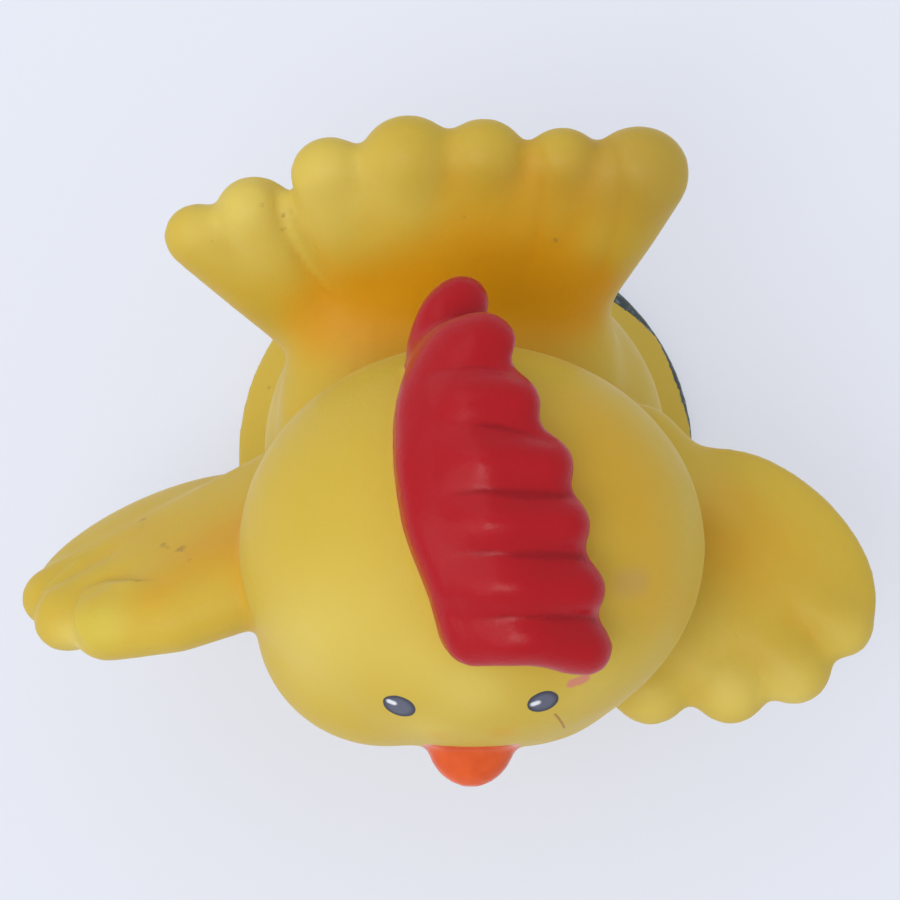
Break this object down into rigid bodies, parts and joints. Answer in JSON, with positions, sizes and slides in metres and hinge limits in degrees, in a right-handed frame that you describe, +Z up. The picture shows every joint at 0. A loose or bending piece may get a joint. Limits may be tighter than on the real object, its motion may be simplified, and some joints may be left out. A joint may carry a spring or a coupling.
{
  "type": "rubber hen",
  "caption": "Soft rubber hen with a round head, flopped comb, spread wings and tail fan on a flat round foot.",
  "frame": {"origin": "centre of the flat underside of the foot", "axes": "+Z up, the beak faces -Y, the wings spread along X"},
  "size_m": [0.1037, 0.081, 0.0801],
  "materials": {
    "yellow_vinyl": "soft translucent yellow vinyl with a satin surface; glossy red paint on the comb, orange on the beak, dark grey printed eyes"
  },
  "bodies": {
    "root": {"hen_body": "yellow_vinyl"}
  },
  "joints": []
}
